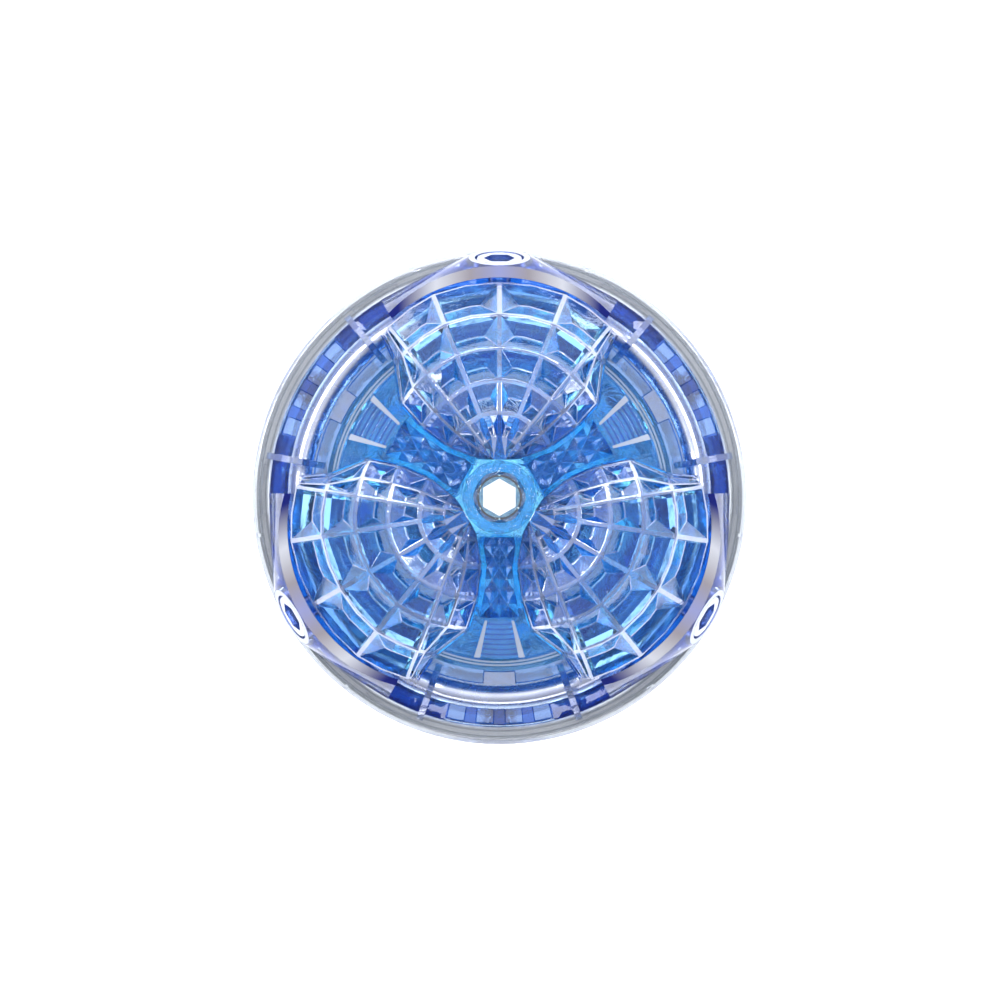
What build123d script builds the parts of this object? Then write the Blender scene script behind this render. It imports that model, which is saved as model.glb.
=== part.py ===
from build123d import *
import math
import os

# Puzzle ball in millimetres. +Z is the turning axis, the origin is the ball's centre.
# The upper half has a lobe at 90, 210 and 330 degrees about +Z. The lower half is the same
# set of mouldings turned half a turn about X, so its lobes sit below the upper windows.

# Whole ball
BALL_RADIUS = 54.0
LOBE_ANGLES = (90, 210, 330)
WINDOW_ANGLES = (30, 150, 270)
FIT_GAP = 0.05
RUNNING_GAP = 0.07

# Rim ring round the waist
RIM_INNER = 50.2
RIM_TOP = 6.0
WAIST_GAP = 0.3
RIM_POCKET_ANGLE = 32
RIM_POCKET_WIDTH = 12
RIM_TICK_ANGLE = 21

# Bowl: sloping panel, round bead and the spokes under each lobe
BOWL_FLOOR = 4.0
BOWL_OUTER = 50.1
PANEL_HIGH = 8.2
BEAD_RADIUS = 2.5
BEAD_CENTRE = 43.7
BEAD_TOP = 16.7
COMB_INNER = 46.3
COMB_OUTER = 49.6
COMB_OPENING = 27.8
BRACKET_ANGLE = 19.8
BRACKET_THICKNESS = 1.4
SPOKE_WIDTH = 62

# Race ring and index ring inside the windows
RACE_INNER = 35.4
RACE_OUTER = 37.9
INDEX_INNER = 38.05
INDEX_NOTCH = 40.7
INDEX_OUTER = 49.9
INDEX_TOP = 3.4
FINGER_SLOTS = 4
SLOT_PITCH = 7.5
SLOT_WIDTH = 4.3
TAB_COUNT = 12
TAB_WIDTH = 10.4

# Waffle lobe: ribs fan out from a point near the ball's axis
FAN_ORIGIN = 7.0
LOBE_TOP = 45.0
LOBE_BASE = BEAD_TOP + FIT_GAP
FLAT_RADIUS = 19.2
DOME_REACH = 34.0
DOME_HEIGHT = 47.0
RING_STEPS = (1.5, 5.6, 11.4, 18.4, 25.6, 32.9, 39.9)
SHOULDER_STEPS = (1.5, 5.6, 11.2, 18.0, 25.1, 32.0, 38.7)
EDGE_STEPS = (1.5, 5.6, 11.8, 18.6, 25.1, 31.7, 38.0)
EDGE_ANGLES = (75.0, 72.0, 70.0, 63.5, 57.5, 44.5, 41.2)
RIB_ANGLE = 21.3
SHOULDER_ANGLE = 38.8
EDGE_DROP = (9.0, 7.0, 8.0, 8.5, 8.5, 8.0, 7.5)
SHOULDER_DROP = 0.3
SIDE_TURN = 0.6
SIDE_SPREAD = 0.01
RIB_HALF_WIDTH = 0.52
POCKET_DEPTH = 1.6
FULL_DEPTH_LENGTH = 5.0
VALLEY_HALF_WIDTH = 0.22
HIP_SHARE = 0.34
STEEP_HIP = 0.05
WIDEST_HIP = 0.32
HIP_COLUMNS = 2
PROW_Y = 8.2
PROW_STEP = 0.65
LAST_RING = len(RING_STEPS) - 1
SIDE_COLUMN = 4
LAST_COLUMN = 6
SMALLEST_CELL = 1.0
CAVITY_SCALE = 0.9
CAVITY_CENTRE = 27.0

# Cap, band and screw at the outer end of each lobe
BOSS_REACH = 52.3
BOSS_HEIGHT = 13.5
BOSS_TILT = 75.0
BOSS_RADIUS = 6.9
CONE_HALF_ANGLE = 61.0
CONE_DEPTH = 14.0
CAP_WALL = 2.0
CAP_SPREAD = 62
BAND_TOP = 25.0
BAND_INNER_RADIUS = 35.0
BAND_INNER_CENTRE = 12.9
BAND_OUTER_RADIUS = 33.4
BAND_OUTER_CENTRE = 17.0
WASHER_INNER = 5.4
WASHER_THICKNESS = 1.5
HEAD_RADIUS = 5.3
HEAD_THICKNESS = 3.0
SHANK_RADIUS = 2.45
SHANK_LENGTH = 8.0
SOCKET_FLATS = 6.0
POST_RADIUS = 4.0
POST_NEAR = 6.3
POST_FAR = 11.0

# Axle, hubs and nuts
AXLE_RADIUS = 4.9
AXLE_END = 43.4
THREAD_RADIUS = 4.4
BORE_CORNER = 4.05
NUT_LOW = 41.0
NUT_HIGH = 44.9
HUB_TOP = 40.5
HUB_BOTTOM = 4.05
HUB_BORE = 5.6
HUB_OUTER = 8.05
BUSH_LENGTH = 8.0

# Maze tray and ball
MAZE_BALL_RADIUS = 3.0
TRACK_RADIUS = 31.0
TRAY_FLOOR = -3.05
TRAY_BOTTOM = -3.95
TRAY_WALL_TOP = 2.2
WALL_THICKNESS = 0.8
TRACK_HALF_WIDTH = 3.7


def tangent(degrees):
    return math.tan(math.radians(degrees))


def turned_ring(outline):
    """Body of revolution about Z from (radius, height) points."""
    return revolve(make_face(Plane.XZ * Polyline(*outline, close=True)), Axis.Z)


def sector_block(inner, outer, low, high, centre, width):
    """Annular block that covers an angle about Z."""
    outline = ((inner, low), (outer, low), (outer, high), (inner, high))
    face = make_face(Plane.XZ * Polyline(*outline, close=True))
    return Rot(0, 0, centre - width / 2) * revolve(face, Axis.Z, revolution_arc=width)


def round_bar(radius, low, high):
    return Pos(0, 0, (low + high) / 2) * Cylinder(radius, high - low)


def aim_at(shape, angle):
    """Turns a shape that was built along +Y to an angle about Z."""
    return Rot(0, 0, angle - 90) * shape


def in_lower_half(shape):
    return Rot(180, 0, 0) * shape


# ---------------------------------------------------------------- rim, bowl and rings


def rim_ring():
    step = 0.25
    outline = [
        (RIM_INNER, WAIST_GAP),
        (BALL_RADIUS, WAIST_GAP),
        (BALL_RADIUS, 2.6),
        (BALL_RADIUS - step, 2.9),
        (BALL_RADIUS - step, 5.0),
        (53.3, 5.6),
        (53.1, 5.6),
        (53.1, RIM_TOP - step),
        (52.6, RIM_TOP),
        (52.5, RIM_TOP),
        (52.5, RIM_TOP - 2 * step),
        (52.25, RIM_TOP - 2 * step),
        (52.25, RIM_TOP),
        (RIM_INNER, RIM_TOP),
    ]
    ring = turned_ring(outline)
    for lobe in LOBE_ANGLES:
        for side in (-1, 1):
            pocket = lobe + side * RIM_POCKET_ANGLE
            tick = lobe + side * RIM_TICK_ANGLE
            ring -= sector_block(50.8, 51.9, 4.6, RIM_TOP + 1, pocket, RIM_POCKET_WIDTH)
            ring -= sector_block(52.6, BALL_RADIUS + 1, 5.2, RIM_TOP + 1, tick, 0.8)
    return ring


def bowl_base(grow=0.0):
    """Solid ring of panel and bead; grow thickens it to cut clearance."""
    outer = BOWL_OUTER + grow
    bead_side = BEAD_RADIUS + grow
    bead_line = BEAD_TOP - BEAD_RADIUS
    line = Polyline(
        (BEAD_CENTRE - bead_side, bead_line),
        (BEAD_CENTRE - bead_side, BOWL_FLOOR - grow),
        (outer, BOWL_FLOOR - grow),
        (outer, RIM_TOP + grow),
        (BEAD_CENTRE + bead_side, PANEL_HIGH + grow),
        (BEAD_CENTRE + bead_side, bead_line),
    )
    crown = ThreePointArc(
        (BEAD_CENTRE + bead_side, bead_line),
        (BEAD_CENTRE, BEAD_TOP + grow),
        (BEAD_CENTRE - bead_side, bead_line),
    )
    return revolve(make_face(Plane.XZ * (line + crown)), Axis.Z)


def bracket(side):
    """S-shaped wall over the bead at one side of a window, with its hook."""
    outline = (
        (38.8, BOWL_FLOOR),
        (38.8, 8.5),
        (40.4, 15.5),
        (43.6, 18.9),
        (46.6, 16.0),
        (48.2, 10.4),
        (51.6, 8.2),
        (51.6, RIM_TOP + FIT_GAP),
        (49.8, RIM_TOP + FIT_GAP),
        (49.8, BOWL_FLOOR),
    )
    face = make_face(Plane.XZ * Polyline(*outline, close=True))
    wall = extrude(face, BRACKET_THICKNESS / 2, both=True)
    hook = sector_block(38.8, 39.8, BOWL_FLOOR, 8.5, -side * 2.2, 4.4)
    return Rot(0, 0, side * BRACKET_ANGLE) * (wall + hook)


def bowl():
    body = bowl_base()
    for window in WINDOW_ANGLES:
        body -= sector_block(COMB_INNER, COMB_OUTER, 3.0, 12.0, window, COMB_OPENING)
        for side in (-1, 1):
            body += Rot(0, 0, window) * bracket(side)
    for lobe in LOBE_ANGLES:
        spoke = sector_block(RACE_OUTER + FIT_GAP, 41.5, BOWL_FLOOR, 5.5, lobe, SPOKE_WIDTH)
        body += spoke
        body += aim_at(boss_bar(POST_RADIUS, POST_NEAR, POST_FAR), lobe)
        body -= aim_at(boss_bar(SHANK_RADIUS + FIT_GAP, POST_NEAR - 1, POST_FAR + 1), lobe)
    return body


def race_ring():
    """Pale ring with fine steps, just inside the index ring."""
    outline = (
        (RACE_INNER, BOWL_FLOOR),
        (RACE_OUTER, BOWL_FLOOR),
        (RACE_OUTER, 5.5),
        (37.2, 5.9),
        (36.9, 5.6),
        (36.5, 5.6),
        (36.2, 6.1),
        (35.8, 6.1),
        (RACE_INNER, 5.7),
    )
    return turned_ring(outline)


def index_ring():
    """Ring that a finger turns through the windows: slots outside, tabs inside."""
    outline = (
        (INDEX_INNER, -2.2),
        (INDEX_NOTCH, -3.0),
        (INDEX_OUTER, -3.0),
        (INDEX_OUTER, INDEX_TOP),
        (INDEX_NOTCH + 0.8, INDEX_TOP),
        (INDEX_NOTCH + 0.8, 2.6),
        (INDEX_INNER, 2.6),
    )
    ring = turned_ring(outline)
    for window in WINDOW_ANGLES:
        for index in range(FINGER_SLOTS):
            angle = window + (index - (FINGER_SLOTS - 1) / 2) * SLOT_PITCH
            ring -= sector_block(COMB_INNER, COMB_OUTER - 0.2, -4, 4, angle, SLOT_WIDTH)
    tab_pitch = 360 / TAB_COUNT
    for index in range(TAB_COUNT):
        angle = (index + 0.5) * tab_pitch
        notch = sector_block(37, INDEX_NOTCH, -4, 4, angle, tab_pitch - TAB_WIDTH)
        ring -= notch
    return ring


def slip_ring():
    """Thin washer between the two rim rings."""
    low = -WAIST_GAP
    high = WAIST_GAP - RUNNING_GAP / 2
    return round_bar(52.8, low, high) - round_bar(50.6, low - 1, high + 1)


# ---------------------------------------------------------------- waffle lobe


def dome_height(radius):
    """Flat near the axis, then an elliptical shoulder down to the rim."""
    if radius <= FLAT_RADIUS:
        return LOBE_TOP
    reach = (radius - FLAT_RADIUS) / DOME_REACH
    return LOBE_TOP - DOME_HEIGHT * (1 - math.sqrt(1 - reach * reach))


def column_polar(ring, column):
    """Angle and distance from the fan's origin at a whole ring and column."""
    edge = (EDGE_ANGLES[ring], EDGE_STEPS[ring])
    shoulder = (SHOULDER_ANGLE, SHOULDER_STEPS[ring])
    if column == 0:
        return 0.0, RING_STEPS[ring]
    if column == 1:
        return RIB_ANGLE, RING_STEPS[ring]
    if column == 2:
        return shoulder
    if column == 3:
        return (edge[0] + shoulder[0]) / 2, (edge[1] + shoulder[1]) / 2
    step = column - SIDE_COLUMN
    return edge[0] + SIDE_TURN * step, edge[1] * (1 + SIDE_SPREAD * step)


def column_height(ring, column, radius):
    top = dome_height(radius)
    if column <= 2:
        return top
    if column == 3:
        return top - SHOULDER_DROP * EDGE_DROP[ring]
    edge_height = top - EDGE_DROP[ring]
    share = (column - SIDE_COLUMN) / (LAST_COLUMN - SIDE_COLUMN)
    return edge_height + (LOBE_BASE - edge_height) * share


def lobe_vertex(ring, column):
    """Point of the plain lobe surface at a whole ring and column."""
    side = -1 if column < 0 else 1
    column = abs(column)
    angle, distance = column_polar(ring, column)
    x = distance * math.sin(math.radians(angle))
    y = FAN_ORIGIN + distance * math.cos(math.radians(angle))
    if ring == 0:
        x = PROW_STEP * column
        y = PROW_Y
    return Vector(side * x, y, column_height(ring, column, math.hypot(x, y)))


def lobe_middle(ring, column):
    """Point halfway between two ribs, on the arc about the fan's origin."""
    first = lobe_vertex(ring, column)
    second = lobe_vertex(ring, column + 1)
    middle = (first + second) / 2
    if ring == 0:
        return middle
    origin = Vector(0, FAN_ORIGIN, middle.Z)
    first_reach = math.hypot(first.X, first.Y - FAN_ORIGIN)
    second_reach = math.hypot(second.X, second.Y - FAN_ORIGIN)
    arm = middle - origin
    return origin + arm.normalized() * ((first_reach + second_reach) / 2)


def blend(first, second, share):
    return first + (second - first) * share


def triangles(corners):
    """Fan of triangles over a polygon given in order."""
    return [(corners[0], corners[k], corners[k + 1]) for k in range(1, len(corners) - 1)]


def hip_shares(column, length, width):
    """How far in the valley starts at both ends of a cell, in shares of its width.

    Near the lobe's middle line only the end towards that line slopes gently.
    """
    gentle = min(WIDEST_HIP, HIP_SHARE * length / width)
    if 0 <= column < HIP_COLUMNS:
        return gentle, STEEP_HIP
    if -HIP_COLUMNS <= column < 0:
        return STEEP_HIP, gentle
    return gentle, gentle


def strip(first, second):
    """Triangles between two rows of three points."""
    faces = []
    for k in range(2):
        faces += triangles([first[k], first[k + 1], second[k + 1], second[k]])
    return faces


def pocket_cell(ring, column):
    """Rib flats round a sunken hip roof with a narrow flat along its valley, as triangles."""
    inner = [lobe_vertex(ring, column), lobe_middle(ring, column), lobe_vertex(ring, column + 1)]
    outer_ring = ring + 1
    outer = [
        lobe_vertex(outer_ring, column),
        lobe_middle(outer_ring, column),
        lobe_vertex(outer_ring, column + 1),
    ]
    length = (outer[1] - inner[1]).length
    inner_width = (inner[2] - inner[0]).length
    outer_width = (outer[2] - outer[0]).length
    if min(length, inner_width, outer_width) < SMALLEST_CELL:
        return strip(inner, outer)
    across = RIB_HALF_WIDTH / length
    near = [blend(inner[k], outer[k], across) for k in range(3)]
    far = [blend(outer[k], inner[k], across) for k in range(3)]
    near_share = 2 * RIB_HALF_WIDTH / inner_width
    far_share = 2 * RIB_HALF_WIDTH / outer_width
    near = [blend(near[0], near[1], near_share), near[1], blend(near[2], near[1], near_share)]
    far = [blend(far[0], far[1], far_share), far[1], blend(far[2], far[1], far_share)]
    normal = (outer[2] - inner[0]).cross(outer[0] - inner[2]).normalized()
    sink = normal * -POCKET_DEPTH * min(1.0, length / FULL_DEPTH_LENGTH)
    first_hip, last_hip = hip_shares(column, length, (inner_width + outer_width) / 2)
    valley = []
    for side in (-1, 1):
        share = 0.5 + side * VALLEY_HALF_WIDTH / length
        row = [blend(near[k], far[k], share) + sink for k in range(3)]
        valley.append([blend(row[0], row[1], 2 * first_hip), row[1], blend(row[2], row[1], 2 * last_hip)])
    faces = strip(inner, near) + strip(near, valley[0]) + strip(valley[0], valley[1])
    faces += strip(valley[1], far) + strip(far, outer)
    faces += triangles([inner[0], near[0], far[0], outer[0]])
    faces += triangles([inner[2], outer[2], far[2], near[2]])
    faces += triangles([near[0], valley[0][0], valley[1][0], far[0]])
    faces += triangles([near[2], far[2], valley[1][2], valley[0][2]])
    return faces


def solid_from(polygons):
    faces = [Face(Wire.make_polygon(points, close=True)) for points in polygons]
    return Solid(Shell(faces))


def column_line(ring):
    """Points across the lobe at one ring, left to right, with the halfway points."""
    points = []
    for column in range(-LAST_COLUMN, LAST_COLUMN):
        points.append(lobe_vertex(ring, column))
        points.append(lobe_middle(ring, column))
    points.append(lobe_vertex(ring, LAST_COLUMN))
    return points


def lobe_block():
    """Closed block under the waffle skin."""
    polygons = []
    for ring in range(LAST_RING):
        for column in range(-LAST_COLUMN, LAST_COLUMN):
            polygons += pocket_cell(ring, column)
    polygons.append(column_line(0))
    rim = column_line(LAST_RING)
    foot = [Vector(point.X, point.Y, LOBE_BASE) for point in rim]
    for index in range(len(rim) - 1):
        polygon = [rim[index], rim[index + 1], foot[index + 1], foot[index]]
        if index == 0:
            polygon = [rim[0], rim[1], foot[1]]
        if index == len(rim) - 2:
            polygon = [rim[index], rim[index + 1], foot[index]]
        polygons.append(polygon)
    left = [lobe_vertex(ring, -LAST_COLUMN) for ring in range(LAST_RING)]
    right = [lobe_vertex(ring, LAST_COLUMN) for ring in range(LAST_RING - 1, -1, -1)]
    polygons.append(left + foot + right)
    return solid_from(polygons)


def lobe_cavity():
    """Plain smaller block that hollows the lobe from below."""
    centre = Vector(0, CAVITY_CENTRE, LOBE_BASE)
    depth = Vector(0, 0, 6)

    def shrunk(ring, column):
        return centre + (lobe_vertex(ring, column) - centre) * CAVITY_SCALE

    columns = range(-LAST_COLUMN, LAST_COLUMN + 1)
    grid = [[shrunk(ring, column) for column in columns] for ring in range(LAST_RING + 1)]
    last = len(grid[0]) - 1
    for row in grid:
        row[0] = row[0] - depth
        row[last] = row[last] - depth
    polygons = []
    for ring in range(LAST_RING):
        near, far = grid[ring], grid[ring + 1]
        for k in range(last):
            polygons += triangles([near[k], near[k + 1], far[k + 1], far[k]])
    polygons.append(grid[0])
    rim = grid[LAST_RING]
    foot = [Vector(point.X, point.Y, LOBE_BASE - depth.Z) for point in rim]
    for k in range(last):
        polygon = [rim[k], rim[k + 1], foot[k + 1], foot[k]]
        if k == 0:
            polygon = [rim[0], rim[1], foot[1]]
        if k == last - 1:
            polygon = [rim[k], rim[k + 1], foot[k]]
        polygons.append(polygon)
    left = [grid[ring][0] for ring in range(LAST_RING)]
    right = [grid[ring][last] for ring in range(LAST_RING - 1, -1, -1)]
    polygons.append(left + foot + right)
    return solid_from(polygons)


def waffle_lobe():
    return lobe_block() - lobe_cavity()


# ---------------------------------------------------------------- cap, washer and screw


def boss_place():
    """Centre of the boss face; its Z axis points out of the ball."""
    tilt = math.radians(BOSS_TILT)
    outward = (0, math.sin(tilt), math.cos(tilt))
    return Plane(origin=(0, BOSS_REACH, BOSS_HEIGHT), x_dir=(1, 0, 0), z_dir=outward)


def boss_bar(radius, near, far):
    """Round bar on the screw's axis between two depths below the boss face."""
    return boss_place() * (Pos(0, 0, -(near + far) / 2) * Cylinder(radius, far - near))


def cap_cone(sink):
    base = BOSS_RADIUS + CONE_DEPTH * tangent(CONE_HALF_ANGLE)
    cone = Cone(base, BOSS_RADIUS, CONE_DEPTH)
    return boss_place() * (Pos(0, 0, -CONE_DEPTH / 2 - sink) * cone)


def arc_prism(radius, centre, low, high):
    return Pos(0, centre, 0) * round_bar(radius, low, high)


def cap():
    """Conical cap and flat band that close the outer end of a lobe."""
    sink = CAP_WALL / math.sin(math.radians(CONE_HALF_ANGLE))
    shell = cap_cone(0) - cap_cone(sink)
    shell += boss_bar(BOSS_RADIUS + 1.2, 0.9, 5.2)
    outer_arc = arc_prism(BAND_OUTER_RADIUS, BAND_OUTER_CENTRE, 0, 40)
    shell -= outer_arc
    band = arc_prism(BAND_OUTER_RADIUS, BAND_OUTER_CENTRE, RIM_TOP, BAND_TOP)
    band -= arc_prism(BAND_INNER_RADIUS, BAND_INNER_CENTRE, 0, BAND_TOP + 1)
    body = shell + band
    body &= sector_block(30, 60, RIM_TOP + FIT_GAP, 40, 90, CAP_SPREAD)
    body -= boss_bar(BOSS_RADIUS - FIT_GAP + 0.02, -1, WASHER_THICKNESS + FIT_GAP)
    body -= boss_bar(HEAD_RADIUS + FIT_GAP, -1, HEAD_THICKNESS + 0.3)
    body -= boss_bar(SHANK_RADIUS + 2 * FIT_GAP, 0, 6)
    return body - bowl_base(FIT_GAP)


def cup_washer():
    radius = BOSS_RADIUS - 2 * FIT_GAP
    return boss_bar(radius, 0, WASHER_THICKNESS) - boss_bar(WASHER_INNER, -1, 2)


def screw():
    """Hex-socket screw with a chamfered head."""
    head = boss_bar(HEAD_RADIUS, 0.1, HEAD_THICKNESS + 0.2)
    head = chamfer(head.edges().sort_by_distance((0, 60, 16)).first, 0.5)
    socket = extrude(RegularPolygon(SOCKET_FLATS / 2, 6, major_radius=False), -2.4)
    shank = boss_bar(SHANK_RADIUS, HEAD_THICKNESS, HEAD_THICKNESS + SHANK_LENGTH)
    return head + shank - boss_place() * socket


# ---------------------------------------------------------------- hub, axle and nuts


def hub():
    """Fluted column that carries the three lobe tips."""
    column = round_bar(HUB_OUTER, HUB_BOTTOM, HUB_TOP)
    flute = Pos(HUB_OUTER + 0.5, 0, (HUB_BOTTOM + HUB_TOP) / 2) * Cylinder(1.3, HUB_TOP)
    for index in range(12):
        column -= Rot(0, 0, 15 + 30 * index) * flute
    return column - round_bar(HUB_BORE, 0, HUB_TOP + 1)


def bush(low):
    high = low + BUSH_LENGTH
    return round_bar(HUB_BORE - FIT_GAP, low, high) - round_bar(
        AXLE_RADIUS + RUNNING_GAP, low - 1, high + 1
    )


def lower_collar():
    """Tight collar that fixes the lower hub to the axle."""
    low = HUB_BOTTOM + 1
    return round_bar(HUB_BORE - FIT_GAP, low, HUB_TOP) - round_bar(
        AXLE_RADIUS + FIT_GAP, low - 1, HUB_TOP + 1
    )


def hex_bore(low, high):
    profile = Rot(0, 0, 30) * RegularPolygon(BORE_CORNER, 6)
    return Pos(0, 0, low) * extrude(profile, high - low)


def axle_tube():
    tube = round_bar(AXLE_RADIUS, -NUT_LOW, NUT_LOW)
    tube += round_bar(THREAD_RADIUS, -AXLE_END, AXLE_END)
    return tube - hex_bore(-AXLE_END - 1, AXLE_END + 1)


def pole_nut():
    """Six-scalloped nut with the axle's hexagon showing through it."""
    height = NUT_HIGH - NUT_LOW
    petal = Pos(3.3, 0, (NUT_LOW + NUT_HIGH) / 2) * Cylinder(2.4, height)
    nut = round_bar(4.0, NUT_LOW, NUT_HIGH)
    for index in range(6):
        nut += Rot(0, 0, 60 * index) * petal
    nut -= hex_bore(NUT_LOW - 1, NUT_HIGH + 1)
    return nut - round_bar(THREAD_RADIUS + FIT_GAP, NUT_LOW - 1, AXLE_END + FIT_GAP)


def thrust_washer():
    return round_bar(8.0, 3.0 + FIT_GAP, HUB_BOTTOM - FIT_GAP) - round_bar(5.1, 0, 6)


# ---------------------------------------------------------------- ramps, chutes, maze


def ramp():
    """Ramp of facets in the valley between two lobes, built along +Y."""
    stations = (8.7, 10.6, 12.8, 15.2, 17.8, 20.6, 23.4, 26.2)
    half_widths = (3.2, 3.5, 3.1, 2.8, 3.1, 3.3, 3.8, 4.3)
    first_top, last_top = 36.0, 10.5
    even_drops = (6.0, 0.0, 3.2, 0.0, 6.0)
    odd_drops = (3.5, 3.6, 0.4, 3.6, 3.5)
    bottom = BOWL_FLOOR + FIT_GAP
    last = len(stations) - 1
    rows = []
    for k, (y, half_width) in enumerate(zip(stations, half_widths)):
        top = first_top + (last_top - first_top) * k / last
        drops = even_drops if k % 2 == 0 else odd_drops
        xs = [half_width * share for share in (-1, -0.5, 0, 0.5, 1)]
        rows.append([Vector(x, y, top - drop) for x, drop in zip(xs, drops)])
    left_foot = [Vector(row[0].X, row[0].Y, bottom) for row in rows]
    right_foot = [Vector(row[-1].X, row[-1].Y, bottom) for row in rows]
    polygons = []
    for k in range(last):
        n = k + 1
        for c in range(4):
            corners = [rows[k][c], rows[k][c + 1], rows[n][c + 1], rows[n][c]]
            if (k + c) % 2 == 0:
                corners = corners[1:] + corners[:1]
            polygons += triangles(corners)
        polygons += triangles([rows[k][0], rows[n][0], left_foot[n], left_foot[k]])
        polygons += triangles([rows[n][4], rows[k][4], right_foot[k], right_foot[n]])
    for k in (0, last):
        polygons.append([left_foot[k]] + rows[k] + [right_foot[k]])
    polygons.append(left_foot + right_foot[::-1])
    return solid_from(polygons)


def chute():
    """Stepped floor between two tapered fins, built along +Y."""
    low = BOWL_FLOOR + FIT_GAP
    floor_outline = ((-4.6, 35.0), (-2.6, 26.9), (2.6, 26.9), (4.6, 35.0))
    floor = Pos(0, 0, low) * extrude(make_face(Polyline(*floor_outline, close=True)), 0.9)
    for index in range(4):
        radius = 28.2 + 1.9 * index
        floor += Pos(0, 0, low + 0.9) * (
            extrude(make_face(Polyline(*floor_outline, close=True)), 0.4)
            & (round_bar(radius + 0.9, -1, 2) - round_bar(radius, -2, 3))
        )
    fin_outline = ((3.2, 26.9), (2.6, 26.9), (4.2, 35.0), (5.6, 35.0))
    fin = Pos(0, 0, low) * extrude(make_face(Polyline(*fin_outline, close=True)), 4.6)
    pair = floor + fin + mirror(fin, about=Plane.YZ)
    return pair & round_bar(RACE_INNER - FIT_GAP, 0, 20)


def ring_wall(radius):
    high = round_bar(radius + WALL_THICKNESS / 2, TRAY_BOTTOM + 0.2, TRAY_WALL_TOP)
    return high - round_bar(radius - WALL_THICKNESS / 2, TRAY_BOTTOM, TRAY_WALL_TOP + 1)


def maze_tray():
    """Floor, round track and the broken ring walls of the inner maze."""
    tray = round_bar(RACE_OUTER - FIT_GAP, TRAY_BOTTOM, TRAY_BOTTOM + 0.7)
    tray += round_bar(RACE_INNER, TRAY_BOTTOM, TRAY_FLOOR)
    track_outer = TRACK_RADIUS + TRACK_HALF_WIDTH + WALL_THICKNESS / 2
    track_inner = TRACK_RADIUS - TRACK_HALF_WIDTH - WALL_THICKNESS / 2
    tray += ring_wall(track_outer)
    walls = ((track_inner, (60, 200)), (20.6, (10, 140, 260)), (14.4, (90, 320)))
    gap_length = 2 * MAZE_BALL_RADIUS + 1.2
    for radius, gaps in walls:
        wall = ring_wall(radius)
        for angle in gaps:
            gap_angle = math.degrees(gap_length / radius)
            wall -= sector_block(radius - 2, radius + 2, TRAY_FLOOR, 5, angle, gap_angle)
        tray += wall
    for angle, inner, outer in ((110, 20.6, track_inner), (235, 14.4, 20.6), (345, 20.6, 26.5)):
        middle = (inner + outer) / 2
        stop = Box(outer - inner, WALL_THICKNESS, TRAY_WALL_TOP - TRAY_BOTTOM - 0.2)
        height = (TRAY_WALL_TOP + TRAY_BOTTOM + 0.2) / 2
        tray += Rot(0, 0, angle) * (Pos(middle, 0, height) * stop)
    tray += round_bar(8.0, TRAY_BOTTOM, 3.0)
    return tray - round_bar(AXLE_RADIUS + FIT_GAP, -6, 6)


def maze_ball():
    place = Rot(0, 0, 90) * Pos(TRACK_RADIUS, 0, 0)
    return place * Sphere(MAZE_BALL_RADIUS)


# ---------------------------------------------------------------- assembly


def at_each(shape, angles):
    return Compound([aim_at(shape, angle) for angle in angles])


def half_set():
    """Every piece that both halves have, placed in the upper half."""
    pieces = {
        "rim_ring": rim_ring(),
        "bowl": bowl(),
        "race_ring": race_ring(),
        "hub": hub(),
        "cup_washers": at_each(cup_washer(), LOBE_ANGLES),
        "lobe_screws": at_each(screw(), LOBE_ANGLES),
        "ramps": at_each(ramp(), WINDOW_ANGLES),
        "chutes": at_each(chute(), WINDOW_ANGLES),
        "pole_nut": pole_nut(),
    }
    lobe = waffle_lobe()
    cover = cap()
    for letter, angle in zip("abc", LOBE_ANGLES):
        pieces["lobe_" + letter] = aim_at(lobe, angle)
        pieces["cap_" + letter] = aim_at(cover, angle)
    return pieces


def main():
    nodes = {
        "index_ring": index_ring(),
        "slip_ring": slip_ring(),
        "axle_tube": axle_tube(),
        "thrust_washer": thrust_washer(),
        "maze_tray": maze_tray(),
        "maze_ball": maze_ball(),
        "upper_top_bush": bush(HUB_TOP - BUSH_LENGTH),
        "upper_inner_bush": bush(HUB_BOTTOM),
        "lower_collar": in_lower_half(lower_collar()),
    }
    for name, shape in half_set().items():
        nodes["upper_" + name] = shape
        nodes["lower_" + name] = in_lower_half(shape)
    os.makedirs("parts", exist_ok=True)
    for name, shape in nodes.items():
        export_step(shape, "parts/" + name + ".step")


main()
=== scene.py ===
import math

import bpy
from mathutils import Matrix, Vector


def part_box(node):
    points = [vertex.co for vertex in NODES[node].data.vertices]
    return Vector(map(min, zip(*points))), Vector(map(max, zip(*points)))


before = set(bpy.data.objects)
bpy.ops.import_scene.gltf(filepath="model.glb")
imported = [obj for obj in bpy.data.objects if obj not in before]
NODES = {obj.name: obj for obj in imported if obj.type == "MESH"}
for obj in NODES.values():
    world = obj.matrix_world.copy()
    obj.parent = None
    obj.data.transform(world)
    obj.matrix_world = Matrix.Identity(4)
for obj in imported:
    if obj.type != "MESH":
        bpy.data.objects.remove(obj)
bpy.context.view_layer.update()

MM = 0.001
BALL_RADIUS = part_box("upper_rim_ring")[1].x
FLOOR_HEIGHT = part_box("lower_lobe_a")[0].z

# Camera straight above, far enough back for a nearly parallel view, with the ball's
# share of the picture's width and the shift of its centre as in the photo.
CAMERA_HEIGHT = 6.0
SENSOR_WIDTH = 36.0
BALL_SHARE = 0.494
CENTRE_SHIFT = (0.0006, -0.0027)

LOBE_PARTS = ("lobe_a", "lobe_b", "lobe_c")

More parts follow.
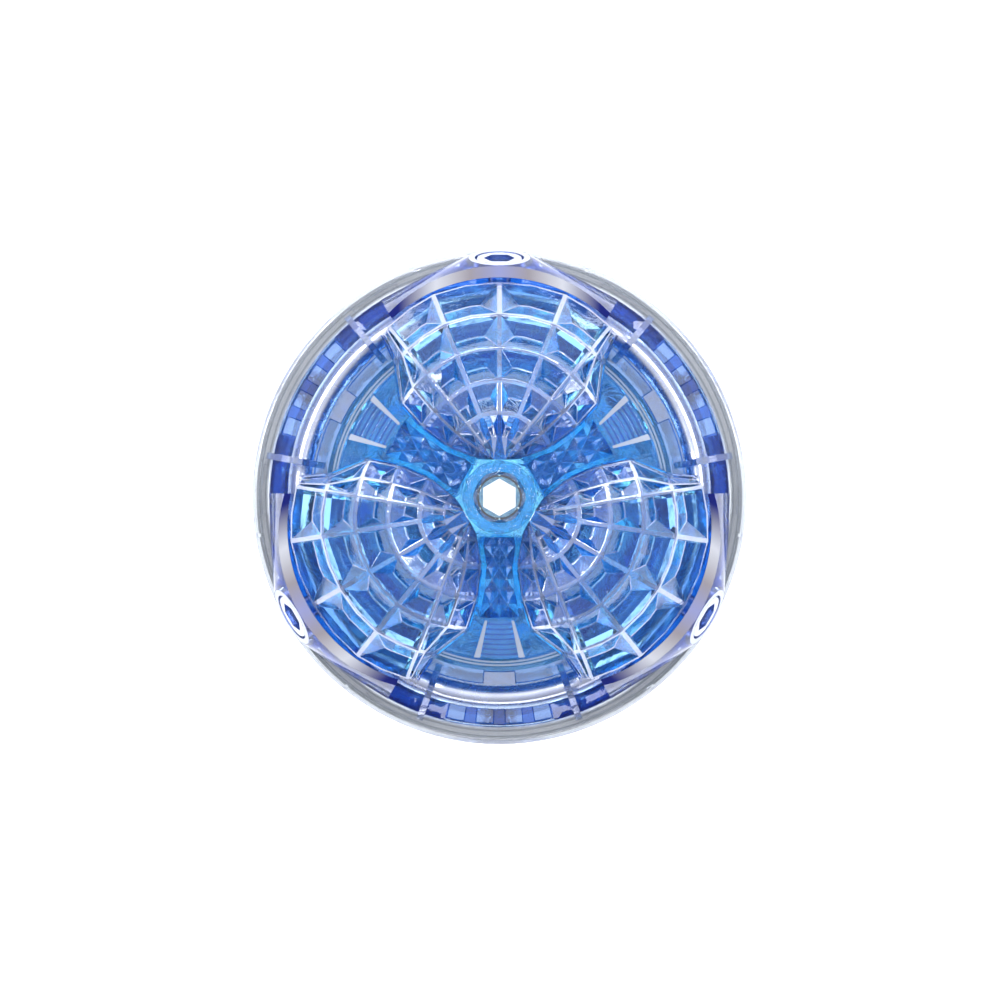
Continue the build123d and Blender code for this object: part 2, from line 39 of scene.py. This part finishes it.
# Turns about Z that bring each cap's middle line onto Y.
CAP_TURNS = {
    "upper_cap_a": 0,
    "upper_cap_b": 60,
    "upper_cap_c": -60,
    "lower_cap_a": 0,
    "lower_cap_b": -60,
    "lower_cap_c": 60,
}
BAND_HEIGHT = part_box("upper_cap_a")[1].z
BAND_REACH = 25.0 * MM

# Where one look gives way to another: distances from the axis, and heights.
INDEX_PARTING = 41.4 * MM
FIN_PARTING = 5.7 * MM
BEAD_PARTING = 9.5 * MM
PARTING_WIDTH = 0.1 * MM

# The brackets stand in pairs, this far to either side of each window's middle.
BRACKET_ANGLE = math.radians(19.8)
BRACKET_HALF_WIDTH = 0.6 * MM
BRACKET_FOOT = 6.2 * MM
WINDOW_STEP = math.radians(120)
UPPER_BOWL_TURN = 90
LOWER_BOWL_TURN = 30

# Narrower faces than this are the flats on top of the ribs.
RIB_FLAT_WIDTH = 0.62 * MM

# Width of the rounding, and the bend in degrees from which an edge is rounded.
WELD_GAP = 0.002 * MM
LOBE_ROUNDING = (0.09 * MM, 12.0)
MOULD_ROUNDING = (0.2 * MM, 25.0)
ROUNDED_PARTS = ("bowl", "rim_ring", "index_ring", "chutes", "ramps")


# ---------------------------------------------------------------- shader helpers


def new_material(name):
    material = bpy.data.materials.new(name)
    material.use_nodes = True
    tree = material.node_tree
    tree.nodes.clear()
    output = tree.nodes.new("ShaderNodeOutputMaterial")
    return material, tree, output


def link(tree, source, target):
    tree.links.new(source, target)


def feed(tree, value, socket):
    """Links a socket, or sets a plain number or colour."""
    if isinstance(value, bpy.types.NodeSocket):
        link(tree, value, socket)
    elif isinstance(value, tuple):
        socket.default_value = (*value, 1.0)
    else:
        socket.default_value = value


def object_point(tree, turn=0.0):
    """Object coordinates in metres, which are the ball's own frame, turned about Z."""
    coordinates = tree.nodes.new("ShaderNodeTexCoord")
    mapping = tree.nodes.new("ShaderNodeMapping")
    mapping.inputs["Rotation"].default_value = (0, 0, math.radians(turn))
    link(tree, coordinates.outputs["Object"], mapping.inputs["Vector"])
    return mapping.outputs["Vector"]


def axis_value(tree, axis, turn=0.0):
    split = tree.nodes.new("ShaderNodeSeparateXYZ")
    link(tree, object_point(tree, turn), split.inputs["Vector"])
    return split.outputs[axis]


def math_node(tree, operation, first, second=0.0):
    node = tree.nodes.new("ShaderNodeMath")
    node.operation = operation
    feed(tree, first, node.inputs[0])
    feed(tree, second, node.inputs[1])
    return node.outputs[0]


def reach_from_axis(tree):
    """Distance from the turning axis."""
    x = axis_value(tree, "X")
    y = axis_value(tree, "Y")
    squares = [math_node(tree, "MULTIPLY", side, side) for side in (x, y)]
    return math_node(tree, "SQRT", math_node(tree, "ADD", *squares))


def height_of(tree):
    """Height above or below the waist."""
    return math_node(tree, "ABSOLUTE", axis_value(tree, "Z"))


def window(tree, value, low, high, low_out=0.0, high_out=1.0):
    """Straight ramp of a value from low..high to low_out..high_out, held outside."""
    node = tree.nodes.new("ShaderNodeMapRange")
    node.inputs["From Min"].default_value = low
    node.inputs["From Max"].default_value = high
    node.inputs["To Min"].default_value = low_out
    node.inputs["To Max"].default_value = high_out
    link(tree, value, node.inputs["Value"])
    return node.outputs["Result"]


def noise(tree, scale, detail=3.0, roughness=0.5, distortion=0.0):
    """Noise with scale in waves per metre."""
    texture = tree.nodes.new("ShaderNodeTexNoise")
    texture.inputs["Scale"].default_value = scale
    texture.inputs["Detail"].default_value = detail
    texture.inputs["Roughness"].default_value = roughness
    texture.inputs["Distortion"].default_value = distortion
    link(tree, object_point(tree), texture.inputs["Vector"])
    return texture.outputs["Fac"]


def colour_ramp(tree, source, stops):
    node = tree.nodes.new("ShaderNodeValToRGB")
    elements = node.color_ramp.elements
    while len(elements) < len(stops):
        elements.new(0.5)
    for element, (place, colour) in zip(elements, stops):
        element.position = place
        element.color = (*colour, 1.0)
    link(tree, source, node.inputs["Fac"])
    return node.outputs["Color"]


def mix_colour(tree, factor, first, second):
    node = tree.nodes.new("ShaderNodeMix")
    node.data_type = "RGBA"
    feed(tree, factor, node.inputs["Factor"])
    feed(tree, first, node.inputs[6])
    feed(tree, second, node.inputs[7])
    return node.outputs[2]


def mix_shader(tree, factor, first, second):
    node = tree.nodes.new("ShaderNodeMixShader")
    feed(tree, factor, node.inputs[0])
    link(tree, first, node.inputs[1])
    link(tree, second, node.inputs[2])
    return node.outputs[0]


def bump(tree, height, strength, distance):
    node = tree.nodes.new("ShaderNodeBump")
    node.inputs["Strength"].default_value = strength
    node.inputs["Distance"].default_value = distance
    link(tree, height, node.inputs["Height"])
    return node.outputs["Normal"]


def outward_lean(tree):
    """How far a surface leans away from the turning axis: -1 inwards, 1 outwards."""
    geometry = tree.nodes.new("ShaderNodeNewGeometry")
    flat = tree.nodes.new("ShaderNodeVectorMath")
    flat.operation = "MULTIPLY"
    flat.inputs[1].default_value = (1, 1, 0)
    link(tree, object_point(tree), flat.inputs[0])
    reach = tree.nodes.new("ShaderNodeVectorMath")
    reach.operation = "NORMALIZE"
    link(tree, flat.outputs["Vector"], reach.inputs[0])
    dot = tree.nodes.new("ShaderNodeVectorMath")
    dot.operation = "DOT_PRODUCT"
    link(tree, reach.outputs["Vector"], dot.inputs[0])
    link(tree, geometry.outputs["True Normal"], dot.inputs[1])
    return dot.outputs["Value"]


def facing_up(tree):
    """1 on level faces, above or below, and 0 on walls."""
    geometry = tree.nodes.new("ShaderNodeNewGeometry")
    split = tree.nodes.new("ShaderNodeSeparateXYZ")
    link(tree, geometry.outputs["Normal"], split.inputs["Vector"])
    return math_node(tree, "ABSOLUTE", split.outputs["Z"])


def from_outside(tree, value):
    """Keeps a value where a ray meets a surface from outside, and 0 from inside the plastic."""
    geometry = tree.nodes.new("ShaderNodeNewGeometry")
    outside = math_node(tree, "SUBTRACT", 1.0, geometry.outputs["Backfacing"])
    return math_node(tree, "MULTIPLY", value, outside)


def ring_lines(tree, pitch):
    """Waves in circles about the turning axis."""
    turns = math_node(tree, "MULTIPLY", reach_from_axis(tree), 2 * math.pi / pitch)
    return math_node(tree, "SINE", turns)


def bracket_mask(tree, turn):
    """1 on the S-shaped brackets beside each window of the bowl."""
    angle = math_node(tree, "ARCTAN2", axis_value(tree, "Y", turn), axis_value(tree, "X", turn))
    wrapped = tree.nodes.new("ShaderNodeMath")
    wrapped.operation = "WRAP"
    feed(tree, angle, wrapped.inputs[0])
    wrapped.inputs[1].default_value = WINDOW_STEP / 2
    wrapped.inputs[2].default_value = -WINDOW_STEP / 2
    off_middle = math_node(tree, "ABSOLUTE", wrapped.outputs[0])
    beside = math_node(tree, "ABSOLUTE", math_node(tree, "SUBTRACT", off_middle, BRACKET_ANGLE))
    away = math_node(tree, "MULTIPLY", beside, reach_from_axis(tree))
    near = window(tree, away, BRACKET_HALF_WIDTH, BRACKET_HALF_WIDTH + 0.2 * MM, 1.0, 0.0)
    standing = window(tree, height_of(tree), BRACKET_FOOT, BRACKET_FOOT + 0.4 * MM)
    return math_node(tree, "MULTIPLY", near, standing)


def grazing(tree, blend):
    """0 where a surface faces the eye, 1 at its grazing edge."""
    node = tree.nodes.new("ShaderNodeLayerWeight")
    node.inputs["Blend"].default_value = blend
    return node.outputs["Facing"]


def principled(tree, colour, rough, normal, **inputs):
    shader = tree.nodes.new("ShaderNodeBsdfPrincipled")
    feed(tree, colour, shader.inputs["Base Color"])
    feed(tree, rough, shader.inputs["Roughness"])
    link(tree, normal, shader.inputs["Normal"])
    for name, value in inputs.items():
        feed(tree, value, shader.inputs[name.replace("_", " ")])
    return shader.outputs["BSDF"]


def gloss(tree, colour, rough, normal):
    shader = tree.nodes.new("ShaderNodeBsdfGlossy")
    feed(tree, colour, shader.inputs["Color"])
    feed(tree, rough, shader.inputs["Roughness"])
    link(tree, normal, shader.inputs["Normal"])
    return shader.outputs["BSDF"]


# ---------------------------------------------------------------- materials

PLASTIC_IOR = 1.49
SHEEN = (0.74, 0.77, 0.88)

# How level a face is where its painted sheen starts, and where it is full; the wider pair
# spreads the bead's painted highlight onto more tilted faces.
PAINTED_SHEEN_LEVELS = (0.92, 0.985)
BEAD_PAINTED_HIGHLIGHT_LEVELS = (0.60, 0.97)

# Depth of the flow lines, and noise scales in waves per metre.
FLOW_DEPTH = 0.4 * MM
BROAD_FLOW = 130.0
FINE_FLOW = 330.0
CLOUD_SCALE = 55.0
WEAR_SCALE = 240.0
BRUSHED_SCALE = 500.0
LOBE_CLOUD_SCALE = 70.0
LOBE_WEAR_SCALE = 300.0
LOBE_FLOW_SCALE = 160.0
METAL_WEAR_SCALE = 400.0
METAL_GRAIN_SCALE = 900.0

# The lobes: their milky share and painted sheen on rib flats and on walls towards the axis, which
# paint these faces paler as if lit.
LOBE_IOR = 1.52
MILKY_SHARE = 0.2
PAINTED_RIB_WALL_SHEEN = 0.24
POCKET_SHEEN = 0.04

# Share of the deep tint in turned lines, and of the thin tint in clouds.
LINE_SHARE = 0.75
CLOUD_SHARE = 0.35

# What a look has unless shade() is told otherwise: frost is the milky share, mirror
# and graze the sheen face-on and added at the grazing edge, the share for level faces
# a painted sheen that makes their tops pale as if lit, pitch the step of turned lines,
# streak the share of veins.
USUAL_LOOK = {
    "frost": 0.0,
    "mirror": 0.05,
    "graze": 0.2,
    "flow": 0.15,
    "grain": BROAD_FLOW,
    "ior": PLASTIC_IOR,
    "crown": 0.0,
    "level": PAINTED_SHEEN_LEVELS,
    "pitch": 0.0,
    "streak": 0.0,
    "fade": None,
}


def flow_normal(tree, strength, grain=BROAD_FLOW):
    """Faint flow lines of moulded plastic."""
    lines = noise(tree, grain, detail=5.0, roughness=0.6, distortion=1.4)
    return bump(tree, lines, strength, FLOW_DEPTH * BROAD_FLOW / grain)


def tint_of(tree, look):
    """Colour of a clear moulding: deeper at grazing angles, in streaks and in turned lines."""
    thin, thick = look["thin"], look["thick"]
    if look["fade"]:
        low, high, pale = look["fade"]
        outer = window(tree, reach_from_axis(tree), low, high)
        thin = mix_colour(tree, outer, thin, pale)
        thick = mix_colour(tree, outer, thick, pale)
    tint = mix_colour(tree, grazing(tree, 0.35), thin, thick)
    if look["streak"]:
        swirl = noise(tree, 1.5 * look["grain"], detail=6.0, roughness=0.65, distortion=3.0)
        veins = window(tree, swirl, 0.42, 0.6, 0.0, look["streak"])
        tint = mix_colour(tree, veins, tint, thick)
    if look["pitch"]:
        lines = window(tree, ring_lines(tree, look["pitch"]), 0.2, 0.8, 0.0, LINE_SHARE)
        tint = mix_colour(tree, lines, tint, thick)
    clouds = noise(tree, CLOUD_SCALE, detail=4.0, roughness=0.55, distortion=0.6)
    cloud = window(tree, clouds, 0.0, 1.0, 0.0, CLOUD_SHARE)
    return mix_colour(tree, cloud, tint, thin)


def moulded(tree, look):
    """Transparent plastic with painted sheen on level faces, as if lit from above."""
    rough = look["rough"]
    worn = window(tree, noise(tree, WEAR_SCALE), 0.0, 1.0, rough, 2.2 * rough + 0.01)
    normal = flow_normal(tree, look["flow"], look["grain"])
    clear = {"Transmission_Weight": 1.0 - look["frost"], "IOR": look["ior"]}
    body = principled(tree, tint_of(tree, look), worn, normal, **clear)
    sheen = gloss(tree, SHEEN, worn, normal)
    mirror = look["mirror"]
    edge = window(tree, grazing(tree, 0.4), 0.0, 1.0, mirror, mirror + look["graze"])
    # Painted sheen on level faces, so that their tops show pale as if lit.
    level = window(tree, facing_up(tree), *look["level"], 0.0, look["crown"])
    share = from_outside(tree, math_node(tree, "MAXIMUM", edge, level))
    return mix_shader(tree, share, body, sheen)


def shade(thin, thick, rough, **more):
    """Look of one clear moulding; what isn't named has the usual value."""
    return {"thin": thin, "thick": thick, "rough": rough, **USUAL_LOOK, **more}


def plain(name, look):
    """Material of one clear moulding."""
    material, tree, output = new_material(name)
    link(tree, moulded(tree, look), output.inputs["Surface"])
    return material


def zoned(name, first, second, place, edge):
    """Two looks in one piece, parted at a value of place."""
    material, tree, output = new_material(name)
    share = window(tree, place(tree), edge, edge + PARTING_WIDTH)
    surface = mix_shader(tree, share, moulded(tree, first), moulded(tree, second))
    link(tree, surface, output.inputs["Surface"])
    return material


def bowl_plastic(name, panel, bead, bracket, turn):
    """Clear panels under a bead with a painted highlight, and brackets made paler by tint and
    painted sheen.
    """
    material, tree, output = new_material(name)
    high = window(tree, height_of(tree), BEAD_PARTING, BEAD_PARTING + PARTING_WIDTH)
    body = mix_shader(tree, high, moulded(tree, panel), moulded(tree, bead))
    surface = mix_shader(tree, bracket_mask(tree, turn), body, moulded(tree, bracket))
    link(tree, surface, output.inputs["Surface"])
    return material


def waffle_plastic(name, deep, bright, rib, inner_wall):
    """Lobe plastic: cyan and blue pockets in clouds, with painted light by facet lean: lavender
    walls towards the axis, bright cyan walls leaning outwards, and paler rib flats painted with a
    pale reflection and painted sheen.
    """
    material, tree, output = new_material(name)
    mask = tree.nodes.new("ShaderNodeAttribute")
    mask.attribute_name = "rib_flat"
    flat = mask.outputs["Fac"]
    clouds = noise(tree, LOBE_CLOUD_SCALE, detail=4.0, roughness=0.6, distortion=1.2)
    cloud = window(tree, clouds, 0.35, 0.7)
    # Painted light by facet lean: walls leaning outwards take the bright tint, walls leaning
    # towards the axis the lavender tint, as if lit.
    lean = outward_lean(tree)
    inward = window(tree, lean, -0.10, -0.28)
    outward = window(tree, lean, 0.15, 0.45)
    pocket = mix_colour(tree, outward, mix_colour(tree, cloud, deep, bright), bright)
    walled = mix_colour(tree, inward, pocket, inner_wall)
    # The pale tint on the rib flats is a painted reflection.
    colour = mix_colour(tree, flat, walled, rib)
    rough = window(tree, noise(tree, LOBE_WEAR_SCALE), 0.0, 1.0, 0.01, 0.05)
    flow_lines = noise(tree, LOBE_FLOW_SCALE, detail=5.0, roughness=0.6, distortion=1.8)
    normal = bump(tree, flow_lines, 0.25, 0.5 * MM)
    # Rib flats and walls leaning towards the axis are painted paler: milky, and with painted sheen.
    paler = math_node(tree, "MAXIMUM", flat, inward)
    milky = math_node(tree, "MULTIPLY", paler, MILKY_SHARE)
    clear = math_node(tree, "SUBTRACT", 1.0, milky)
    body = principled(tree, colour, rough, normal, Transmission_Weight=clear, IOR=LOBE_IOR)
    sheen = gloss(tree, SHEEN, rough, normal)
    pocket_and_painted_rib_sheen = window(tree, flat, 0.0, 1.0, POCKET_SHEEN, PAINTED_RIB_WALL_SHEEN)
    painted_wall_sheen = math_node(tree, "MULTIPLY", inward, PAINTED_RIB_WALL_SHEEN)
    share = from_outside(tree, math_node(tree, "MAXIMUM", pocket_and_painted_rib_sheen, painted_wall_sheen))
    link(tree, mix_shader(tree, share, body, sheen), output.inputs["Surface"])
    return material


CAP_CONE = shade(
    (0.46, 0.54, 0.78), (0.09, 0.12, 0.36), 0.04, mirror=0.05, graze=0.0, ior=1.25
)

# Painted reflection on a cap's band: its tones from the middle to the ends.
BAND_PAINTED_REFLECTION = (
    (0.0, (0.34, 0.36, 0.60)),
    (0.25, (0.36, 0.33, 0.36)),
    (0.55, (0.66, 0.67, 0.72)),
    (0.76, (0.26, 0.26, 0.36)),
    (0.88, (0.01, 0.02, 0.20)),
)


def cap_plastic(name, turn):
    """Lavender cap whose glossy flat band has a painted reflection: silver and bronze, darkening to
    navy at its ends.
    """
    material, tree, output = new_material(name)
    cone = moulded(tree, CAP_CONE)
    across = math_node(tree, "ABSOLUTE", axis_value(tree, "X", turn))
    # The band's tones along its length are a painted reflection, given to its gloss as colour.
    band_painted_reflection = colour_ramp(tree, window(tree, across, 0.0, BAND_REACH), BAND_PAINTED_REFLECTION)
    brushed = window(tree, noise(tree, BRUSHED_SCALE, detail=5.0), 0.0, 1.0, 0.10, 0.22)
    normal = flow_normal(tree, 0.06)
    metallic = gloss(tree, band_painted_reflection, brushed, normal)
    lacquered = principled(tree, band_painted_reflection, brushed, normal, Coat_Weight=0.5)
    band = mix_shader(tree, 0.35, metallic, lacquered)
    on_band = window(tree, height_of(tree), BAND_HEIGHT - 0.4 * MM, BAND_HEIGHT - 0.2 * MM)
    link(tree, mix_shader(tree, from_outside(tree, on_band), cone, band), output.inputs["Surface"])
    return material


def polished_metal(name, colour, rough):
    material, tree, output = new_material(name)
    wear = noise(tree, METAL_WEAR_SCALE, detail=6.0, roughness=0.7)
    darker = tuple(0.8 * channel for channel in colour)
    surface = principled(
        tree,
        mix_colour(tree, wear, colour, darker),
        window(tree, wear, 0.0, 1.0, rough, rough * 2.5),
        bump(tree, noise(tree, METAL_GRAIN_SCALE), 0.05, 0.05 * MM),
        Metallic=1.0,
    )
    link(tree, surface, output.inputs["Surface"])
    return material


# Beyond the bead the bowl's panels fade to a greyer blue: from, to and the tint.
RIM_FADE = (46.0 * MM, 50.0 * MM, (0.28, 0.44, 0.68))

# In these looks the sheen on level faces is painted, making top faces pale as if lit.
LOOKS = {
    "rim": shade(
        (0.94, 0.96, 0.97),
        (0.52, 0.56, 0.61),
        0.005,
        frost=0.2,
        flow=0.03,
        ior=1.12,
        crown=0.15,
        pitch=1.3 * MM,
    ),
    "race": shade(
        (0.62, 0.86, 0.90), (0.36, 0.70, 0.86), 0.10, frost=0.12, crown=0.5, pitch=0.8 * MM
    ),
    "nut": shade(
        (0.82, 0.95, 0.97),
        (0.12, 0.46, 0.82),
        0.01,
        mirror=0.12,
        flow=0.9,
        ior=1.4,
        crown=0.2,
        streak=0.9,
        grain=FINE_FLOW,
    ),
    "tube": shade((0.62, 0.86, 0.87), (0.40, 0.76, 0.80), 0.01, ior=1.15, crown=0.3),
    "tray": shade((0.30, 0.76, 0.96), (0.07, 0.40, 0.86), 0.04, flow=1.0, streak=0.6),
    "sleeve": shade(
        (0.80, 0.94, 0.99), (0.22, 0.58, 0.92), 0.03, flow=1.6, ior=1.3, streak=0.8, grain=FINE_FLOW
    ),
    "core": shade(
        (0.62, 0.92, 0.99),
        (0.14, 0.46, 0.92),
        0.02,
        mirror=0.22,
        flow=0.9,
        streak=0.8,
        grain=FINE_FLOW,
    ),
    "screw": shade((0.44, 0.56, 0.82), (0.14, 0.24, 0.60), 0.05, frost=0.1, mirror=0.28),
    "washer": shade((0.24, 0.36, 0.72), (0.05, 0.10, 0.40), 0.04, frost=0.05, mirror=0.18),
}

# Looks that share a piece with others; their sheen on level faces is painted too.
PANEL = shade((0.38, 0.66, 0.90), (0.08, 0.30, 0.80), 0.02, crown=0.25, fade=RIM_FADE)
# The bead's wide pale band is a painted highlight: painted sheen on its crown, spread onto its
# tilted faces.
BEAD = shade(
    (0.44, 0.64, 0.86), (0.08, 0.24, 0.74), 0.16, flow=0.05, crown=0.72, level=BEAD_PAINTED_HIGHLIGHT_LEVELS
)
# The brackets' pale lines are a paler tint and stronger sheen, with painted sheen on their tops.
BRACKET = shade(
    (0.58, 0.66, 0.86), (0.16, 0.24, 0.66), 0.05, frost=0.1, mirror=0.35, crown=0.5
)
PALE_EDGE = shade((0.54, 0.82, 0.95), (0.06, 0.30, 0.72), 0.05, frost=0.05, crown=0.5)
FINGER_BLUE = shade((0.12, 0.40, 0.82), (0.02, 0.13, 0.60), 0.03, crown=0.16)
STEP_CYAN = shade((0.34, 0.80, 0.98), (0.02, 0.20, 0.74), 0.04, crown=0.1, pitch=1.1 * MM)
WHITE_FIN = shade(
    (0.86, 0.92, 0.96), (0.72, 0.82, 0.92), 0.08, frost=0.6, mirror=0.35, crown=0.5
)
# Lobe tints: pockets vary in clouds between deep and bright; the bright tint is also painted light
# on walls leaning outwards, the lavender wall tint painted light on walls leaning towards the axis,
# the pale rib tint a painted reflection on the rib flats.
WAFFLE = {
    "deep": (0.05, 0.30, 0.80),
    "bright": (0.22, 0.70, 0.92),
    "rib": (0.62, 0.67, 0.84),
    "inner_wall": (0.43, 0.53, 0.87),
}


def make_materials():
    made = {part: plain(part + "_plastic", look) for part, look in LOOKS.items()}
    made["lobe"] = waffle_plastic("blue_waffle", **WAFFLE)
    for bowl, turn in (("upper_bowl", UPPER_BOWL_TURN), ("lower_bowl", LOWER_BOWL_TURN)):
        made[bowl] = bowl_plastic(bowl + "_plastic", PANEL, BEAD, BRACKET, turn)
    made["index"] = zoned("index_plastic", PALE_EDGE, FINGER_BLUE, reach_from_axis, INDEX_PARTING)
    made["chute"] = zoned("chute_plastic", STEP_CYAN, WHITE_FIN, height_of, FIN_PARTING)
    made["steel"] = polished_metal("ball_steel", (0.80, 0.82, 0.85), 0.04)
    for part, turn in CAP_TURNS.items():
        made[part] = cap_plastic(part, turn)
    return made


def material_plan():
    """Which material each node takes."""
    plan = {
        "rim_ring": "rim",
        "race_ring": "race",
        "hub": "sleeve",
        "cup_washers": "washer",
        "lobe_screws": "screw",
        "ramps": "core",
        "chutes": "chute",
        "pole_nut": "nut",
    }
    for part in LOBE_PARTS:
        plan[part] = "lobe"
    whole = {side + part: kind for side in ("upper_", "lower_") for part, kind in plan.items()}
    for part in CAP_TURNS:
        whole[part] = part
    whole.update(
        {
            "upper_bowl": "upper_bowl",
            "lower_bowl": "lower_bowl",
            "index_ring": "index",
            "slip_ring": "rim",
            "axle_tube": "tube",
            "thrust_washer": "sleeve",
            "maze_tray": "tray",
            "maze_ball": "steel",
            "upper_top_bush": "sleeve",
            "upper_inner_bush": "sleeve",
            "lower_collar": "sleeve",
        }
    )
    return whole


def dress(nodes, materials):
    for name, kind in material_plan().items():
        mesh = nodes[name].data
        mesh.materials.clear()
        mesh.materials.append(materials[kind])


# ---------------------------------------------------------------- surface finish


def mark_rib_flats(mesh):
    """Marks the narrow faces on top of the ribs, for the lobe's shader."""
    attribute = mesh.attributes.new("rib_flat", "FLOAT", "FACE")
    values = []
    for face in mesh.polygons:
        corners = [mesh.vertices[index].co for index in face.vertices]
        longest = max((corners[k] - corners[k - 1]).length for k in range(len(corners)))
        width = 2 * face.area / longest
        values.append(1.0 if width < RIB_FLAT_WIDTH else 0.0)
    attribute.data.foreach_set("value", values)


def soften_edges(piece, width, angle):
    """Joins the faces and rounds the sharp edges, as a mould does."""
    weld = piece.modifiers.new("weld", "WELD")
    weld.merge_threshold = WELD_GAP
    bevel = piece.modifiers.new("edge_round", "BEVEL")
    bevel.width = width
    bevel.segments = 2
    bevel.limit_method = "ANGLE"
    bevel.angle_limit = math.radians(angle)
    bevel.harden_normals = False
    bevel.use_clamp_overlap = True


def finish_surfaces(nodes):
    for name, piece in nodes.items():
        part = name.replace("upper_", "").replace("lower_", "")
        if part in LOBE_PARTS:
            mark_rib_flats(piece.data)
            soften_edges(piece, *LOBE_ROUNDING)
        elif part in ROUNDED_PARTS:
            soften_edges(piece, *MOULD_ROUNDING)


# ---------------------------------------------------------------- stage


FLOOR_REACH = 8.0
FLOOR_GAP = 0.2 * MM
FLOOR_GLOW = 0.95

# Heights on the sky, as the sine of the angle above level, and their colours.
SKY_BANDS = (
    (0.0, (0.92, 0.94, 0.95)),
    (0.22, (0.34, 0.37, 0.44)),
    (0.45, (0.72, 0.76, 0.86)),
    (0.66, (0.26, 0.31, 0.48)),
    (0.80, (0.95, 0.97, 1.0)),
)

WHITE = (1.0, 1.0, 1.0)
SOFT_BOXES = (
    ("key_left", (-0.50, 0.28, 1.15), (0.45, 0.30), 6.0, WHITE),
    ("key_right", (0.52, 0.26, 1.10), (0.40, 0.28), 4.5, (0.95, 0.97, 1.0)),
    ("front", (0.05, -0.90, 0.60), (0.9, 0.3), 2.5, WHITE),
    ("back", (0.0, 0.95, 0.50), (0.9, 0.25), 3.0, WHITE),
)


def floor():
    """Pale floor that glows a little, so that light comes up through the ball."""
    mesh = bpy.data.meshes.new("floor")
    height = FLOOR_HEIGHT - FLOOR_GAP
    signs = ((-1, -1), (1, -1), (1, 1), (-1, 1))
    corners = [(x * FLOOR_REACH, y * FLOOR_REACH, height) for x, y in signs]
    mesh.from_pydata(corners, [], [(0, 1, 2, 3)])
    plane = bpy.data.objects.new("floor", mesh)
    bpy.context.scene.collection.objects.link(plane)
    material, tree, output = new_material("pale_floor")
    diffuse = tree.nodes.new("ShaderNodeBsdfDiffuse")
    diffuse.inputs["Color"].default_value = (0.9, 0.9, 0.9, 1)
    glow = tree.nodes.new("ShaderNodeEmission")
    glow.inputs["Strength"].default_value = FLOOR_GLOW
    total = tree.nodes.new("ShaderNodeAddShader")
    link(tree, diffuse.outputs["BSDF"], total.inputs[0])
    link(tree, glow.outputs["Emission"], total.inputs[1])
    link(tree, total.outputs["Shader"], output.inputs["Surface"])
    mesh.materials.append(material)


def soft_box(name, place, size, power, colour):
    light = bpy.data.lights.new(name, "AREA")
    light.shape = "RECTANGLE"
    light.size, light.size_y = size
    light.energy = power
    light.color = colour
    lamp = bpy.data.objects.new(name, light)
    bpy.context.scene.collection.objects.link(lamp)
    lamp.location = place
    lamp.rotation_euler = (-Vector(place)).to_track_quat("-Z", "Y").to_euler()
    lamp.visible_camera = False


def sky():
    """Studio surround: banded in height, bright behind the ball and darker in front."""
    world = bpy.data.worlds.new("studio")
    bpy.context.scene.world = world
    world.use_nodes = True
    tree = world.node_tree
    tree.nodes.clear()
    output = tree.nodes.new("ShaderNodeOutputWorld")
    background = tree.nodes.new("ShaderNodeBackground")
    coordinates = tree.nodes.new("ShaderNodeTexCoord")
    split = tree.nodes.new("ShaderNodeSeparateXYZ")
    link(tree, coordinates.outputs["Generated"], split.inputs["Vector"])
    link(tree, colour_ramp(tree, split.outputs["Z"], SKY_BANDS), background.inputs["Color"])
    strength = window(tree, split.outputs["Y"], -0.7, 0.6, 0.35, 1.2)
    link(tree, strength, background.inputs["Strength"])
    link(tree, background.outputs["Background"], output.inputs["Surface"])


def camera():
    data = bpy.data.cameras.new("top_camera")
    data.sensor_width = SENSOR_WIDTH
    data.lens = BALL_SHARE * SENSOR_WIDTH / 2 * CAMERA_HEIGHT / BALL_RADIUS
    data.shift_x, data.shift_y = CENTRE_SHIFT
    data.clip_end = 20.0
    eye = bpy.data.objects.new("top_camera", data)
    bpy.context.scene.collection.objects.link(eye)
    eye.location = (0, 0, CAMERA_HEIGHT)
    bpy.context.scene.camera = eye


def view_and_light_paths():
    """Plain colours, and enough bounces for light to pass all the layers of plastic."""
    scene = bpy.context.scene
    scene.view_settings.view_transform = "Standard"
    scene.view_settings.look = "Medium High Contrast"
    scene.cycles.max_bounces = 30
    scene.cycles.transmission_bounces = 30
    scene.cycles.glossy_bounces = 5
    scene.cycles.diffuse_bounces = 2
    scene.cycles.sample_clamp_indirect = 4.0


dress(NODES, make_materials())
finish_surfaces(NODES)
floor()
sky()
for box in SOFT_BOXES:
    soft_box(*box)
camera()
view_and_light_paths()
